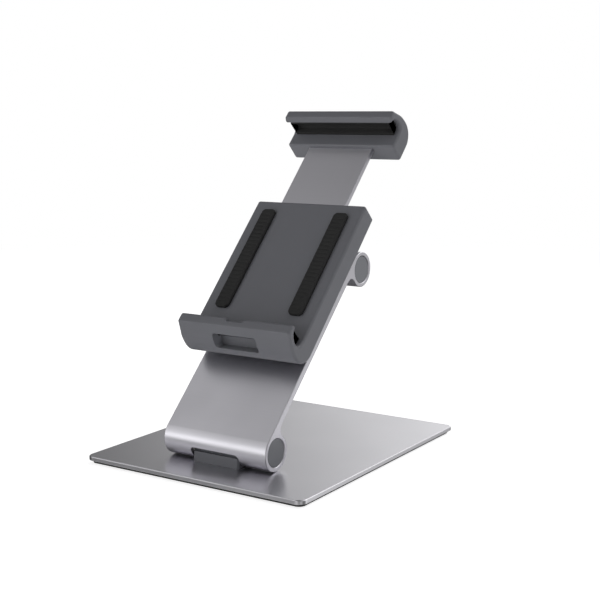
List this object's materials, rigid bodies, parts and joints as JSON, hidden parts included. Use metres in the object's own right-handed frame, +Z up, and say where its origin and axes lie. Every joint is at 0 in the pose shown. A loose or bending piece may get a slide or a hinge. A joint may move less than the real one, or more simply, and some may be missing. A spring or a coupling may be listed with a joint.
{
  "type": "tablet stand",
  "caption": "Desk stand for a tablet: flat base plate, folding hinged arm, tilting and turning head with a fixed lower jaw and a sliding upper jaw.",
  "frame": {"origin": "centre of the base's underside, on the table", "axes": "+X right and +Y back as the user sees it, +Z up; the tablet faces -Y"},
  "size_m": [0.155, 0.1849, 0.2092],
  "materials": {
    "pad_rubber": "fine matt rubber underlay",
    "plate_metal": "satin silver coating on steel plate",
    "arm_metal": "satin anodised extrusion",
    "grey_plastic": "fine moulded texture, dark grey",
    "cap_plastic": "fine moulded texture, dark grey",
    "soft_rubber": "soft dark rubber",
    "zinc_steel": "zinc plated",
    "black_steel": "blackened steel",
    "acetal": "natural acetal",
    "lock_chrome": "polished nickel"
  },
  "bodies": {
    "base": {"base_pad": "pad_rubber", "base_plate": "plate_metal", "base_knuckle": "grey_plastic", "base_screws": "black_steel"},
    "arm": {"arm": "arm_metal", "lower_cap_left": "cap_plastic", "lower_cap_right": "cap_plastic", "lower_pin": "zinc_steel", "lower_washers": "acetal", "lower_bushes": "zinc_steel", "lower_springs": "black_steel", "lower_nut": "zinc_steel", "upper_cap_left": "cap_plastic", "upper_cap_right": "cap_plastic", "upper_pin": "zinc_steel", "upper_washers": "acetal", "upper_bushes": "zinc_steel", "upper_springs": "black_steel", "upper_nut": "zinc_steel"},
    "neck": {"head_knuckle": "grey_plastic", "turntable_plate": "zinc_steel", "turntable_plate_screws": "black_steel", "turntable_ring": "acetal", "turntable_spindle": "zinc_steel", "turntable_washer": "zinc_steel", "turntable_spring": "black_steel", "turntable_screw": "black_steel"},
    "head": {"head_front": "grey_plastic", "head_back": "grey_plastic", "head_screws": "black_steel", "slide_guides": "acetal", "lower_jaw_liner": "soft_rubber", "front_pads": "soft_rubber"},
    "jaw": {"upper_jaw": "grey_plastic", "jaw_tongue": "arm_metal", "tongue_screws": "black_steel", "upper_jaw_liner": "soft_rubber"},
    "lock": {"lock_cylinder": "lock_chrome"}
  },
  "joints": [
    {"name": "arm_tilt", "type": "hinge", "parent": "base", "child": "arm", "pos_m": [0, -0.05605, 0.01605], "axis": [1, 0, 0], "range_deg": [-44.5, 14]},
    {"name": "head_tilt", "type": "hinge", "parent": "arm", "child": "neck", "pos_m": [0, 0.03974, 0.11118], "axis": [-1, 0, 0], "range_deg": [0, 45]},
    {"name": "head_spin", "type": "hinge", "parent": "neck", "child": "head", "pos_m": [0, 0.02891, 0.12168], "axis": [0, -0.7181, 0.6959], "continuous": true},
    {"name": "jaw_slide", "type": "slide", "parent": "head", "child": "jaw", "axis": [0, 0.6959, 0.7181], "range_m": [-0.0495, 0.0355]},
    {"name": "lock_turn", "type": "hinge", "parent": "head", "child": "lock", "pos_m": [-0.0404, 0.01008, 0.11159], "axis": [1, 0, 0], "range_deg": [0, 90]}
  ]
}
